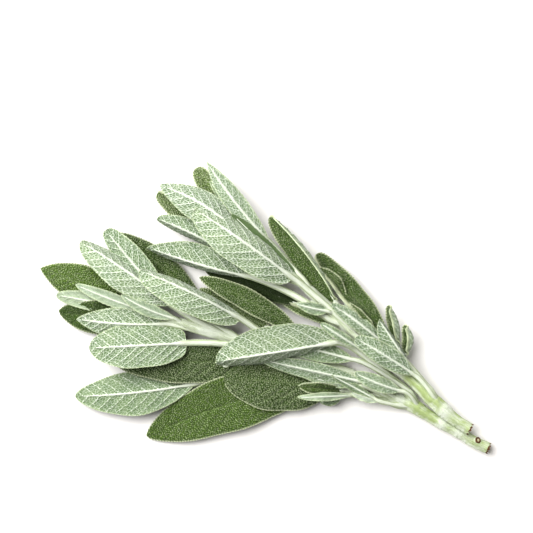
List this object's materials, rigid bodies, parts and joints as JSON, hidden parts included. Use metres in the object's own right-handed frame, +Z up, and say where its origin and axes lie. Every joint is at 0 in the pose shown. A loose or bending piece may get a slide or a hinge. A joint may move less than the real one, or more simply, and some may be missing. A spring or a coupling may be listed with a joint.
{
  "type": "sage bunch",
  "caption": "Cut leafy sprigs of common sage lying crossed on a surface, with stalked oval leaves.",
  "frame": {"origin": "under the middle of the bunch's box, on the surface it lies on", "axes": "+X towards the cut ends of the stems, along the bunch; +Y towards the upper sprig's side; +Z up"},
  "size_m": [0.1964, 0.1114, 0.0196],
  "materials": {
    "sage_lower": "matte",
    "sage_upper": "matte"
  },
  "bodies": {
    "root": {"sprig_lower": "sage_lower", "sprig_upper": "sage_upper"}
  },
  "joints": []
}
